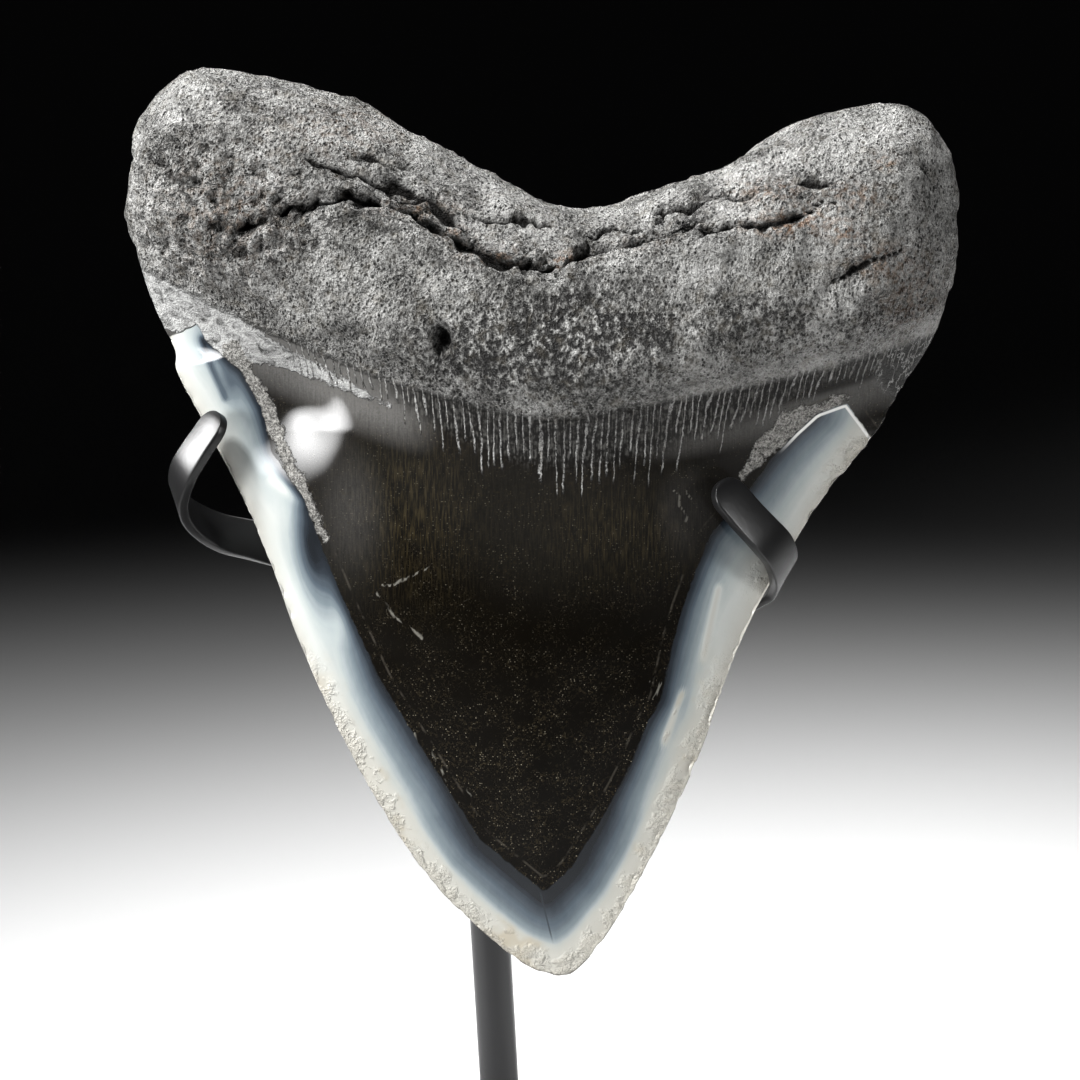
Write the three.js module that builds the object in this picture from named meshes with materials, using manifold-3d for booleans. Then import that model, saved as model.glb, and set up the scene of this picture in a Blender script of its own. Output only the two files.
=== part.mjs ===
// A fossil megalodon tooth held on a black steel display stand.
// Units are millimetres, +Z is up, and the tooth's lingual face looks along -Y.
// The origin is the middle of the stand's underside, on the surface that it stands on.
import * as THREE from "three";
import Module from "manifold-3d";
import { mergeVertices } from "three/addons/utils/BufferGeometryUtils.js";

const wasm = await Module();
wasm.setup();

// ---- Driving dimensions ----------------------------------------------------
const BASE = { wide: 110, deep: 84, thick: 12, chamfer: 1.2, corner: 3 };
const FELT = { thick: 1.5, inset: 2, corner: 2 };
const POST = { y: 0.6, radius: 3.175, leanDeg: 3.0, straight: 10, bend: 8, top: 126, steps: 24 };
const SCREW = { shaft: 1.8, head: 3.8, headRim: 0.4, headDepth: 2.4, grip: 12, bore: 13, gap: 0.3 };
const STRAP = { wide: 6.35, thick: 1.6, tipSteps: 8, steps: 64 };
const SIDES = { round: 24, corner: 6 }; // of a turned piece, and of a plate's corner
const RECLINE_DEG = 15; // how far the tooth leans back from upright
const TOOTH_AT = { x: 7.4, y: -9.6, z: 134.5 }; // the tooth's own origin

// ---- The tooth -------------------------------------------------------------
// Its own frame has u across, v up the blade and w out of the lingual face.
// The rim is the line that divides the lingual face from the labial face:
// up the left cutting edge from the tip, over the root, and down the right one.
const RIM_POINTS = [
  [2.0, -68.3], [-4.4, -66.0], [-12.3, -59.3], [-18.8, -52.3], [-25.2, -42.9],
  [-32.0, -30.4], [-38.6, -15.5], [-42.4, -5.0], [-46.8, 5.6], [-53.8, 18.8],
  [-57.4, 26.0], [-57.8, 29.5], [-61.2, 37.0], [-63.6, 44.8], [-64.5, 51.0],
  [-62.8, 63.6], [-59.7, 68.8], [-55.8, 71.8], [-50.0, 72.4], [-44.5, 71.3],
  [-29.3, 67.4], [-22.8, 64.0], [-14.0, 58.7], [-5.3, 54.3], [1.5, 51.8],
  [8.1, 51.6], [14.6, 53.5], [24.5, 56.2], [30.2, 58.9], [38.0, 63.4],
  [50.2, 66.3], [56.7, 65.3], [61.5, 60.0], [62.9, 52.7], [61.7, 37.5],
  [60.0, 31.9], [54.6, 23.1], [50.6, 16.2], [42.8, 6.5], [37.5, -2.0],
  [32.8, -10.1], [28.2, -20.5], [25.0, -30.0], [20.6, -40.5], [14.6, -53.0],
  [9.8, -61.0], [5.6, -66.4],
];
const HEART = { u: 0, v: 18 }; // every rim point can be seen from here
const CROWN = { edge: 35, front: 12.5, back: 6, tip: -72.5, tall: 84 };
const ROOT = { round: 14, front: 10.7, boss: 8.8, bossWide: 50, shoulder: 2, back: 7.5 };
const NECK = { u: 1.6, v: 10.9, left: 0.58, right: 0.43, bend: 11 };
// The heights above the neck between which the root takes over from the crown, its boss
// rises, and the boss falls back a little.
const BLEND = { root: [-7.5, 11], boss: [-4, 17], top: [19, 42], fall: 0.25 };
const TALL = { most: 1.05, front: 0.8, back: 0.7 }; // how the crown thins to its tip
const TIP_SWEEP = { from: 18.6, over: 85, by: 4.6 }; // the tip curves labially
const RIM_STEPS = 720;
const GRID_CELLS = 34; // across each face of the tooth
const RIM_CROWDING = 1.3; // above 1 draws the grid towards the rim

const smooth = (lo, hi, x) => {
  const t = Math.min(1, Math.max(0, (x - lo) / (hi - lo)));
  return t * t * (3 - 2 * t);
};

const rimCurve = new THREE.CatmullRomCurve3(
  RIM_POINTS.map(([u, v]) => new THREE.Vector3(u, v, 0)), true, "catmullrom", 0.5,
);
const rim = Array.from({ length: RIM_STEPS }, (_, i) => rimCurve.getPoint(i / RIM_STEPS));
const rimByAngle = rim
  .map((p) => {
    const du = p.x - HEART.u;
    const dv = p.y - HEART.v;
    return { angle: Math.atan2(dv, du), reach: Math.hypot(du, dv) };
  })
  .sort((a, b) => a.angle - b.angle);

// How far the rim is from the heart in a direction.
function reachAt(angle) {
  const after = rimByAngle.findIndex((r) => r.angle > angle);
  const b = rimByAngle[after < 0 ? 0 : after];
  const a = rimByAngle[(after < 1 ? RIM_STEPS : after) - 1];
  const turn = 2 * Math.PI;
  const span = (b.angle - a.angle + turn) % turn;
  const share = span ? ((angle - a.angle + turn) % turn) / span : 0;
  return a.reach + (b.reach - a.reach) * share;
}

function distanceToRim(u, v) {
  let least = Infinity;
  for (let i = 0; i < RIM_STEPS; i++) {
    const a = rim[i];
    const b = rim[(i + 1) % RIM_STEPS];
    const du = b.x - a.x;
    const dv = b.y - a.y;
    const along = ((u - a.x) * du + (v - a.y) * dv) / (du * du + dv * dv);
    const t = Math.min(1, Math.max(0, along));
    least = Math.min(least, Math.hypot(u - a.x - t * du, v - a.y - t * dv));
  }
  return least;
}

// Height above the neck, the rounded chevron where the crown meets the root.
function aboveNeck(u, v) {
  const du = u - NECK.u;
  const slope = du < 0 ? NECK.left : NECK.right;
  return v - NECK.v - slope * (Math.hypot(du, NECK.bend) - NECK.bend);
}

// The lingual and labial heights of the tooth over a point at distance d from its rim.
function faces(u, v, d) {
  const s = aboveNeck(u, v);
  const rooted = smooth(...BLEND.root, s);
  const blade = 1 - (1 - Math.min(1, d / CROWN.edge)) ** 2;
  const blunt = Math.sqrt(1 - (1 - Math.min(1, d / ROOT.round)) ** 2);
  const tall = Math.max(0, (v - CROWN.tip) / CROWN.tall);
  const swell = Math.exp(-(((u - NECK.u) / ROOT.bossWide) ** 2)) * ROOT.boss + ROOT.shoulder;
  const rise = smooth(...BLEND.boss, s) * (1 - BLEND.fall * smooth(...BLEND.top, s));
  const crownFront = CROWN.front * Math.min(TALL.most, tall ** TALL.front) * blade;
  const rootFront = (ROOT.front + swell * rise) * blunt;
  const crownBack = CROWN.back * Math.min(TALL.most, tall ** TALL.back) * blade;
  const rootBack = ROOT.back * blunt;
  const sweep = -TIP_SWEEP.by * (Math.max(0, TIP_SWEEP.from - v) / TIP_SWEEP.over) ** 2;
  return {
    middle: sweep,
    front: sweep + crownFront + (rootFront - crownFront) * rooted,
    back: sweep - crownBack - (rootBack - crownBack) * rooted,
  };
}

// One closed surface: a square grid pressed into a disc, reaching the rim all round,
// once for the lingual face and once for the labial face, which share the rim's points.
function toothGeometry() {
  const n = GRID_CELLS;
  const points = [];
  const index = { front: [], back: [] };
  for (let j = 0; j <= n; j++)
    for (let i = 0; i <= n; i++) {
      const a = (2 * i) / n - 1;
      const b = (2 * j) / n - 1;
      const p = a * Math.sqrt(1 - (b * b) / 2);
      const q = b * Math.sqrt(1 - (a * a) / 2);
      const onRim = i === 0 || j === 0 || i === n || j === n;
      const out = onRim ? 1 : 1 - (1 - Math.hypot(p, q)) ** RIM_CROWDING;
      const angle = Math.atan2(q, p);
      const reach = reachAt(angle) * out;
      const u = HEART.u + reach * Math.cos(angle);
      const v = HEART.v + reach * Math.sin(angle);
      const at = faces(u, v, onRim ? 0 : distanceToRim(u, v));
      index.front.push(points.length);
      points.push([u, v, onRim ? at.middle : at.front]);
      if (onRim) {
        index.back.push(points.length - 1);
      } else {
        index.back.push(points.length);
        points.push([u, v, at.back]);
      }
    }
  const triangles = [];
  for (let j = 0; j < n; j++)
    for (let i = 0; i < n; i++) {
      const low = j * (n + 1) + i;
      const high = low + n + 1;
      const corner = [low, low + 1, high + 1, high];
      // The diagonal turns with the quadrant, so that no triangle lies flat along the rim.
      const turned = i < n / 2 === j < n / 2;
      const split = turned ? [[0, 1, 2], [0, 2, 3]] : [[0, 1, 3], [1, 2, 3]];
      for (const t of split) {
        const [f0, f1, f2] = t.map((k) => index.front[corner[k]]);
        const [b0, b1, b2] = t.map((k) => index.back[corner[k]]);
        triangles.push(f0, f1, f2, b0, b2, b1);
      }
    }
  const geometry = new THREE.BufferGeometry();
  geometry.setAttribute("position", new THREE.Float32BufferAttribute(points.flat(), 3));
  geometry.setIndex(triangles);
  return geometry;
}

// ---- Placing the tooth's frame in the stand's ------------------------------
const recline = THREE.MathUtils.degToRad(RECLINE_DEG);
const toothFrame = new THREE.Matrix4()
  .makeBasis(
    new THREE.Vector3(1, 0, 0),
    new THREE.Vector3(0, Math.sin(recline), Math.cos(recline)),
    new THREE.Vector3(0, -Math.cos(recline), Math.sin(recline)),
  )
  .setPosition(TOOTH_AT.x, TOOTH_AT.y, TOOTH_AT.z);

// ---- The arms --------------------------------------------------------------
// Each is a flat steel strip bent round an edge of the blade. A row is a point
// on the strip's middle line, then the direction of its width, both in the
// tooth's frame, from the round tip on the lingual face back to the post.
const LEFT_ARM = [
  [-50.1, 19.5, 5.6, -0.52, 0.34, -0.78],
  [-51.8, 16.9, 5.5, -0.52, 0.34, -0.78],
  [-53.9, 13.9, 5.1, -0.52, 0.35, -0.77],
  [-55.6, 11.3, 4.1, -0.5, 0.38, -0.78],
  [-56.7, 9.0, 2.3, -0.42, 0.46, -0.78],
  [-57.1, 6.8, 0.1, -0.3, 0.58, -0.76],
  [-56.4, 4.7, -2.5, -0.2, 0.7, -0.69],
  [-54.3, 2.7, -5.2, -0.14, 0.82, -0.56],
  [-50.9, 0.9, -7.5, -0.08, 0.9, -0.42],
  [-46.3, -0.2, -9.0, -0.02, 0.95, -0.3],
  [-40.5, -1.7, -9.4, 0.06, 0.99, -0.1],
  [-31.6, -4.1, -9.2, 0.1, 0.99, 0.06],
  [-20.5, -7.2, -8.7, 0.06, 0.98, 0.18],
  [-9.6, -9.2, -8.6, 0.0, 0.966, 0.259],
];
const RIGHT_ARM = [
  [25.9, 8.9, 11.6, 0.62, 0.55, -0.56],
  [28.2, 6.3, 11.2, 0.62, 0.55, -0.56],
  [30.7, 3.5, 10.3, 0.62, 0.56, -0.55],
  [33.3, 0.8, 8.8, 0.62, 0.57, -0.54],
  [35.3, -1.4, 6.4, 0.61, 0.62, -0.5],
  [36.3, -3.5, 3.5, 0.57, 0.7, -0.43],
  [36.5, -5.2, 0.3, 0.5, 0.79, -0.35],
  [35.6, -6.5, -2.8, 0.42, 0.86, -0.29],
  [33.3, -7.6, -5.5, 0.32, 0.91, -0.25],
  [30.2, -9.0, -7.6, 0.2, 0.95, -0.2],
  [25.5, -10.4, -9.0, 0.08, 0.98, -0.1],
  [18.5, -12.3, -9.8, -0.03, 0.99, 0.05],
  [8.4, -14.8, -10.3, -0.04, 0.98, 0.18],
  [-15.6, -16.6, -10.6, 0.0, 0.966, 0.259],
];

// A strip of the strap's section along the rows, its first end rounded in plan.
function strapGeometry(rows) {
  const curveOf = (first) => new THREE.CatmullRomCurve3(
    rows.map((r) => new THREE.Vector3().fromArray(r, first)), false, "catmullrom", 0.5,
  );
  const line = curveOf(0);
  const lean = curveOf(3);
  const half = STRAP.wide / 2;
  const long = line.getLength();
  const counted = (n) => Array.from({ length: n }, (_, i) => (i + 1) / n);
  const stations = [
    ...counted(STRAP.tipSteps).map((t) => half * (1 - Math.cos((t * Math.PI) / 2))),
    ...counted(STRAP.steps).map((t) => half + (long - half) * t),
  ];
  const points = [];
  for (const along of stations) {
    const t = line.getUtoTmapping(along / long);
    const at = line.getPoint(t);
    const run = line.getTangent(t);
    const wide = lean.getPoint(t);
    wide.addScaledVector(run, -wide.dot(run)).normalize();
    const thick = new THREE.Vector3().crossVectors(run, wide).normalize();
    const short = Math.max(0, half - along);
    const reach = Math.sqrt(Math.max(0, half * half - short * short));
    for (const [a, b] of [[-1, -1], [1, -1], [1, 1], [-1, 1]]) {
      const p = at.clone().addScaledVector(wide, a * reach);
      p.addScaledVector(thick, (b * STRAP.thick) / 2);
      points.push(p.x, p.y, p.z);
    }
  }
  const triangles = [];
  const rings = stations.length;
  for (let k = 0; k < rings - 1; k++)
    for (let c = 0; c < 4; c++) {
      const [a, b] = [4 * k + c, 4 * k + ((c + 1) % 4)];
      triangles.push(a, b, b + 4, a, b + 4, a + 4);
    }
  const last = 4 * (rings - 1);
  triangles.push(0, 2, 1, 0, 3, 2, last, last + 1, last + 2, last, last + 2, last + 3);
  const geometry = new THREE.BufferGeometry();
  geometry.setAttribute("position", new THREE.Float32BufferAttribute(points, 3));
  geometry.setIndex(triangles);
  return geometry;
}

// ---- Solids for cutting ----------------------------------------------------
function solidOf(geometry) {
  const bare = geometry.index ? geometry.toNonIndexed() : geometry.clone();
  const only = new THREE.BufferGeometry().setAttribute("position", bare.getAttribute("position"));
  const merged = mergeVertices(only, 1e-4);
  return new wasm.Manifold(new wasm.Mesh({
    numProp: 3,
    vertProperties: merged.attributes.position.array,
    triVerts: new Uint32Array(merged.index.array),
  }));
}

function geometryOf(solid) {
  const mesh = solid.getMesh();
  const geometry = new THREE.BufferGeometry();
  geometry.setAttribute("position", new THREE.BufferAttribute(mesh.vertProperties, 3));
  geometry.setIndex(new THREE.BufferAttribute(mesh.triVerts, 1));
  return geometry;
}

// Stands a turned shape on the post's axis, with its own y = 0 at height z.
const onAxis = (geometry, z) => geometry.rotateX(Math.PI / 2).translate(0, POST.y, z);

// ---- The base, felt, screw and post ---------------------------------------
function roundedPlate(wide, deep, corner) {
  const [x, y, r] = [wide / 2, deep / 2, corner];
  const plate = new THREE.Shape();
  plate.moveTo(-x + r, -y);
  plate.lineTo(x - r, -y);
  plate.absarc(x - r, -y + r, r, -Math.PI / 2, 0, false);
  plate.lineTo(x, y - r);
  plate.absarc(x - r, y - r, r, 0, Math.PI / 2, false);
  plate.lineTo(-x + r, y);
  plate.absarc(-x + r, y - r, r, Math.PI / 2, Math.PI, false);
  plate.lineTo(-x, -y + r);
  plate.absarc(-x + r, -y + r, r, Math.PI, 1.5 * Math.PI, false);
  return plate;
}

const baseBottom = FELT.thick;
const baseTop = baseBottom + BASE.thick;

// A steel plate with its top edges chamfered, drilled and countersunk from below.
function baseGeometry() {
  const shape = roundedPlate(BASE.wide, BASE.deep, BASE.corner);
  const body = new THREE.ExtrudeGeometry(shape, {
    depth: BASE.thick - BASE.chamfer, bevelEnabled: false, curveSegments: SIDES.corner,
  }).translate(0, 0, baseBottom);
  const less = 2 * BASE.chamfer;
  const inner = roundedPlate(BASE.wide - less, BASE.deep - less, BASE.corner - BASE.chamfer);
  const bevel = new THREE.ExtrudeGeometry(inner, {
    depth: BASE.chamfer, bevelEnabled: true, bevelSegments: 1,
    bevelThickness: BASE.chamfer, bevelSize: BASE.chamfer, curveSegments: SIDES.corner,
  }).translate(0, 0, baseTop - less);
  const shaft = SCREW.shaft + SCREW.gap;
  const head = SCREW.head + SCREW.gap;
  const hole = new THREE.CylinderGeometry(shaft, shaft, 3 * BASE.thick, SIDES.round);
  const sinkDeep = SCREW.headDepth + SCREW.gap;
  const sink = new THREE.LatheGeometry([
    new THREE.Vector2(0, -1), new THREE.Vector2(head, -1), new THREE.Vector2(head, 0),
    new THREE.Vector2(shaft, sinkDeep), new THREE.Vector2(0, sinkDeep),
  ], SIDES.round);
  const solid = solidOf(body).add(solidOf(bevel))
    .subtract(solidOf(onAxis(hole, baseBottom)))
    .subtract(solidOf(onAxis(sink, baseBottom)));
  return geometryOf(solid);
}

// A countersunk screw, its head flush with the plate's underside.
function screwGeometry() {
  const long = BASE.thick + SCREW.grip;
  const profile = [
    new THREE.Vector2(0, 0), new THREE.Vector2(SCREW.head, 0),
    new THREE.Vector2(SCREW.head, SCREW.headRim), new THREE.Vector2(SCREW.shaft, SCREW.headDepth),
    new THREE.Vector2(SCREW.shaft, long), new THREE.Vector2(0, long),
  ];
  return onAxis(new THREE.LatheGeometry(profile, SIDES.round), baseBottom);
}

// A round steel bar, upright at its foot and then leaning to the left, tapped for the screw.
function postGeometry() {
  const lean = Math.tan(THREE.MathUtils.degToRad(POST.leanDeg));
  const cornerZ = baseTop + POST.straight + POST.bend;
  const onPost = (z) => new THREE.Vector3(-lean * Math.max(0, z - cornerZ), POST.y, z);
  const [foot, bendLow, corner, bendHigh, top] = [
    baseTop, cornerZ - POST.bend, cornerZ, cornerZ + POST.bend, POST.top,
  ].map(onPost);
  const path = new THREE.CurvePath();
  path.add(new THREE.LineCurve3(foot, bendLow));
  path.add(new THREE.QuadraticBezierCurve3(bendLow, corner, bendHigh));
  path.add(new THREE.LineCurve3(bendHigh, top));
  const section = new THREE.Shape().absarc(0, 0, POST.radius, 0, 2 * Math.PI, false);
  const bar = new THREE.ExtrudeGeometry(section, {
    steps: POST.steps, bevelEnabled: false, extrudePath: path, curveSegments: SIDES.round / 2,
  });
  const tapped = SCREW.shaft + SCREW.gap;
  const bore = new THREE.CylinderGeometry(tapped, tapped, 2 * SCREW.bore, SIDES.round);
  return geometryOf(solidOf(bar).subtract(solidOf(onAxis(bore, baseTop))));
}

// ---- The object ------------------------------------------------------------
const fossil = new THREE.MeshStandardMaterial({ color: 0x6f6d69, roughness: 0.45, metalness: 0 });
const blackSteel = new THREE.MeshStandardMaterial({ color: 0x17181a, roughness: 0.45, metalness: 0 });
const zincSteel = new THREE.MeshStandardMaterial({ color: 0x9a9c9e, roughness: 0.35, metalness: 1 });
const blackFelt = new THREE.MeshStandardMaterial({ color: 0x1c1c1e, roughness: 0.95, metalness: 0 });

const group = new THREE.Group();
const held = new THREE.Group();
held.applyMatrix4(toothFrame);
group.add(held);

function add(parent, name, geometry, material) {
  const mesh = new THREE.Mesh(geometry, material);
  mesh.name = name;
  parent.add(mesh);
}

add(held, "tooth", toothGeometry(), fossil);
add(held, "left_arm", strapGeometry(LEFT_ARM), blackSteel);
add(held, "right_arm", strapGeometry(RIGHT_ARM), blackSteel);
add(group, "post", postGeometry(), blackSteel);
add(group, "base", baseGeometry(), blackSteel);
add(group, "base_screw", screwGeometry(), zincSteel);
add(group, "base_felt", new THREE.ExtrudeGeometry(
  roundedPlate(BASE.wide - 2 * FELT.inset, BASE.deep - 2 * FELT.inset, FELT.corner),
  { depth: FELT.thick, bevelEnabled: false, curveSegments: SIDES.corner },
), blackFelt);

export default group;
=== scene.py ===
import bpy
import numpy as np
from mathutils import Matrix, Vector


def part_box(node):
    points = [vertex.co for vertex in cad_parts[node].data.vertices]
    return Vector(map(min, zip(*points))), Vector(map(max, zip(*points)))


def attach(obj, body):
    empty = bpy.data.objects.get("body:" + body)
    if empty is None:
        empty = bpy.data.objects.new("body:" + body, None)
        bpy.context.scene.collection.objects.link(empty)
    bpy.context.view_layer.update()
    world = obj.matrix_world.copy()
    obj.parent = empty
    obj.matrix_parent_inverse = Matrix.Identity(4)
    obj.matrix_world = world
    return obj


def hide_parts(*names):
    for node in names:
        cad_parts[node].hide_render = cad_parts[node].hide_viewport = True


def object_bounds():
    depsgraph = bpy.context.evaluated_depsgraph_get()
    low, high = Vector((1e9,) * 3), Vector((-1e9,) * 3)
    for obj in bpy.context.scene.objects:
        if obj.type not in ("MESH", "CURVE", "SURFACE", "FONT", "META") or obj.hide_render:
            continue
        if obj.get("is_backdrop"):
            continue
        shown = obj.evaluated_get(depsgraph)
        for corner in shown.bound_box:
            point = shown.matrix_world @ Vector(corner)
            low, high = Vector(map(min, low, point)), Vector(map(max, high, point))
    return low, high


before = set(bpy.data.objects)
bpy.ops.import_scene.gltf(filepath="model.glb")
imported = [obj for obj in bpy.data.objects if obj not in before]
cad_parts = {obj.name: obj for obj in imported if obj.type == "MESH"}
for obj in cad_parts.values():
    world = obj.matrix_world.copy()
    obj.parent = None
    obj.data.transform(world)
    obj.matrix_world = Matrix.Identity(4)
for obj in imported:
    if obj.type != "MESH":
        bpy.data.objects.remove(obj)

cad_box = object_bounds()

# ---- The tooth's shape ------------------------------------------------------
# One fossil tooth, grown as one piece: a broad blade of enamel over dentine, ground and
# polished after it was found, under a thick two-lobed root that keeps its natural skin.
# It leans back in the stand's two hooks and nothing is fixed to it.
MM = 0.001
RECLINE = np.radians(15)
TOOTH_AT = np.array([7.4, -9.6, 134.5])
RIM = [
    (2.0, -68.3), (-4.4, -66.0), (-12.3, -59.3), (-18.8, -52.3), (-25.2, -42.9),
    (-32.0, -30.4), (-38.6, -15.5), (-42.4, -5.0), (-46.8, 5.6), (-53.8, 18.8),
    (-57.4, 26.0), (-57.8, 29.5), (-61.2, 37.0), (-63.6, 44.8), (-64.5, 51.0),
    (-62.8, 63.6), (-59.7, 68.8), (-55.8, 71.8), (-50.0, 72.4), (-44.5, 71.3),
    (-29.3, 67.4), (-22.8, 64.0), (-14.0, 58.7), (-5.3, 54.3), (1.5, 51.8),
    (8.1, 51.6), (14.6, 53.5), (24.5, 56.2), (30.2, 58.9), (38.0, 63.4),
    (50.2, 66.3), (56.7, 65.3), (61.5, 60.0), (62.9, 52.7), (61.7, 37.5),
    (60.0, 31.9), (54.6, 23.1), (50.6, 16.2), (42.8, 6.5), (37.5, -2.0),
    (32.8, -10.1), (28.2, -20.5), (25.0, -30.0), (20.6, -40.5), (14.6, -53.0),
    (9.8, -61.0), (5.6, -66.4),
]
HEART = (0.0, 26.0)

# How finely the rim and each face are divided, and how far the grid is drawn to the rim.
RIM_ARC_STEPS = 16
GRID_CELLS = 220
RIM_CROWDING = 1.15

# The forms of crown and root, in mm: how far in from the rim each reaches its full height,
# the height of each face, the root's boss, the neck's line and the tip's backward curve.
CROWN_EDGE, CROWN_FRONT, CROWN_BACK = 35, 12.5, 6
CROWN_END, CROWN_TALL = -72.5, 84
ROOT_ROUND, ROOT_FRONT, ROOT_BACK = 14, 10.7, 7.5
BOSS, BOSS_WIDE, ROOT_SHOULDER = 8.8, 50, 2
NECK_AT, NECK_SLOPES, NECK_BEND = (1.6, 10.9), (0.58, 0.43), 11
TIP_SWEEP, SWEEP_FROM, SWEEP_OVER = 4.6, 18.6, 85


def smooth(low, high, x):
    """Rises from 0 at low to 1 at high, level at both ends: 3t^2 - 2t^3."""
    t = np.clip((x - low) / (high - low), 0, 1)
    return t * t * (3 - 2 * t)


def hill(u, v, centre, radii):
    """A rounded hill of height 1: e to the minus squared distance, measured in radii."""
    return np.exp(-((u - centre[0]) / radii[0]) ** 2 - ((v - centre[1]) / radii[1]) ** 2)


def curve_through(points, steps):
    """A closed curve through the points: cubic arcs whose end tangents join the neighbours."""
    p = np.array(points)
    before, after, next_after = np.roll(p, 1, 0), np.roll(p, -1, 0), np.roll(p, -2, 0)
    t = (np.arange(steps) / steps)[None, :, None]
    start, stop = (after - before)[:, None] / 2, (next_after - p)[:, None] / 2
    here, there = p[:, None], after[:, None]
    arcs = (2 * t**3 - 3 * t**2 + 1) * here + (t**3 - 2 * t**2 + t) * start
    arcs = arcs + (3 * t**2 - 2 * t**3) * there + (t**3 - t**2) * stop
    return arcs.reshape(-1, 2)


def to_line(u, v, line, closed=False):
    """Distance to the nearest segment of a line, and how far along the line, from 0 to 1, that is."""
    points = np.array(line, float)
    ends = np.roll(points, -1, 0) if closed else points[1:]
    lengths = np.linalg.norm(ends - points[:len(ends)], axis=1)
    starts_at = np.concatenate([[0], np.cumsum(lengths)])
    nearest = np.full(u.shape, np.inf)
    along = np.zeros(u.shape)
    for (au, av), (bu, bv), length, before in zip(points, ends, lengths, starts_at):
        du, dv = (bu - au) / length, (bv - av) / length
        t = np.clip((u - au) * du + (v - av) * dv, 0, length)
        gap = np.hypot(u - au - t * du, v - av - t * dv)
        along = np.where(gap < nearest, (before + t) / starts_at[-1], along)
        nearest = np.minimum(nearest, gap)
    return nearest, along


def inside(u, v, outline):
    """True where a line drawn to the right crosses the closed outline an odd number of times."""
    odd = np.zeros(u.shape, bool)
    points = np.array(outline, float)
    for (au, av), (bu, bv) in zip(points, np.roll(points, -1, 0)):
        if av != bv:
            crosses = (av > v) != (bv > v)
            odd ^= crosses & (u < au + (v - av) * (bu - au) / (bv - av))
    return odd


def scatter(cell, seed):
    """A number from 0 to 1 for each whole-numbered cell: the fraction of a large multiple of a sine."""
    wave = np.sin(cell @ np.array([127.1, 311.7, 74.7]) + 53.3 * seed) * 43758.5453
    return wave - np.floor(wave)


def cloud(place, size, seed):
    """Smooth noise from -1 to 1: scattered numbers on a cubic lattice, blended by 3t^2 - 2t^3."""
    at = place / size
    cell = np.floor(at)
    t = at - cell
    t = t * t * (3 - 2 * t)
    total = np.zeros(len(place))
    for corner in np.ndindex(2, 2, 2):
        weight = np.prod(np.where(corner, t, 1 - t), axis=1)
        total += weight * scatter(cell + corner, seed)
    return 2 * total - 1


def nearest_seed(place, size, seed):
    """Distance, in cells, to the nearest of the points scattered one to each cell of a lattice."""
    at = place / size
    cell = np.floor(at)
    nearest = np.full(len(place), 9.0)
    for step in np.ndindex(3, 3, 3):
        near = cell + step - 1.0
        point = near + np.stack([scatter(near, seed + k) for k in range(3)], axis=1)
        nearest = np.minimum(nearest, np.linalg.norm(at - point, axis=1))
    return nearest


def above_neck(u, v):
    """Height above the neck, a rounded chevron: each side falls as a hyperbola to its own slope."""
    du = u - NECK_AT[0]
    slope = np.where(du < 0, *NECK_SLOPES)
    return v - NECK_AT[1] - slope * (np.hypot(du, NECK_BEND) - NECK_BEND)


def faces(u, v, d):
    """The middle, lingual and labial heights over a point at distance d from the rim.

    The crown's faces are parabolas of d, scaled down towards the tip. The root's are quarter
    ellipses of d with a low hill for its boss. A smooth step at the neck blends them, and the
    tip curves back as a parabola of the distance below the shoulders.
    """
    s = above_neck(u, v)
    rooted = smooth(-7.5, 11, s)
    blade = 1 - (1 - np.minimum(1, d / CROWN_EDGE)) ** 2
    blunt = np.sqrt(1 - (1 - np.minimum(1, d / ROOT_ROUND)) ** 2)
    tall = np.maximum(0, (v - CROWN_END) / CROWN_TALL)
    swell = np.exp(-((u - NECK_AT[0]) / BOSS_WIDE) ** 2) * BOSS + ROOT_SHOULDER
    rise = smooth(-4, 17, s) * (1 - 0.25 * smooth(19, 42, s))
    crown_front = CROWN_FRONT * np.minimum(1.05, tall**0.8) * blade
    root_front = (ROOT_FRONT + swell * rise) * blunt
    crown_back = CROWN_BACK * np.minimum(1.05, tall**0.7) * blade
    root_back = ROOT_BACK * blunt
    middle = -TIP_SWEEP * (np.maximum(0, SWEEP_FROM - v) / SWEEP_OVER) ** 2
    front = middle + crown_front + (root_front - crown_front) * rooted
    back = middle - crown_back - (root_back - crown_back) * rooted
    return middle, front, back


def to_stand(place):
    """Tooth coordinates in mm (across, up the blade, out of the lingual face) to the stand's in metres.

    The tooth is turned back by its recline about the line across it, and moved to its place.
    """
    u, v, w = place.T
    y = v * np.sin(RECLINE) - w * np.cos(RECLINE)
    z = v * np.cos(RECLINE) + w * np.sin(RECLINE)
    return (np.stack([u, y, z], axis=1) + TOOTH_AT) * MM


def vertex_normals(points, quads):
    """The sum of the area normals of the faces round each point, made one long."""
    across = points[quads[:, 2]] - points[quads[:, 0]]
    normal = np.cross(across, points[quads[:, 3]] - points[quads[:, 1]])
    total = np.zeros_like(points)
    for corner in range(4):
        np.add.at(total, quads[:, corner], normal)
    return total / np.maximum(np.linalg.norm(total, axis=1, keepdims=True), 1e-12)


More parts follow.
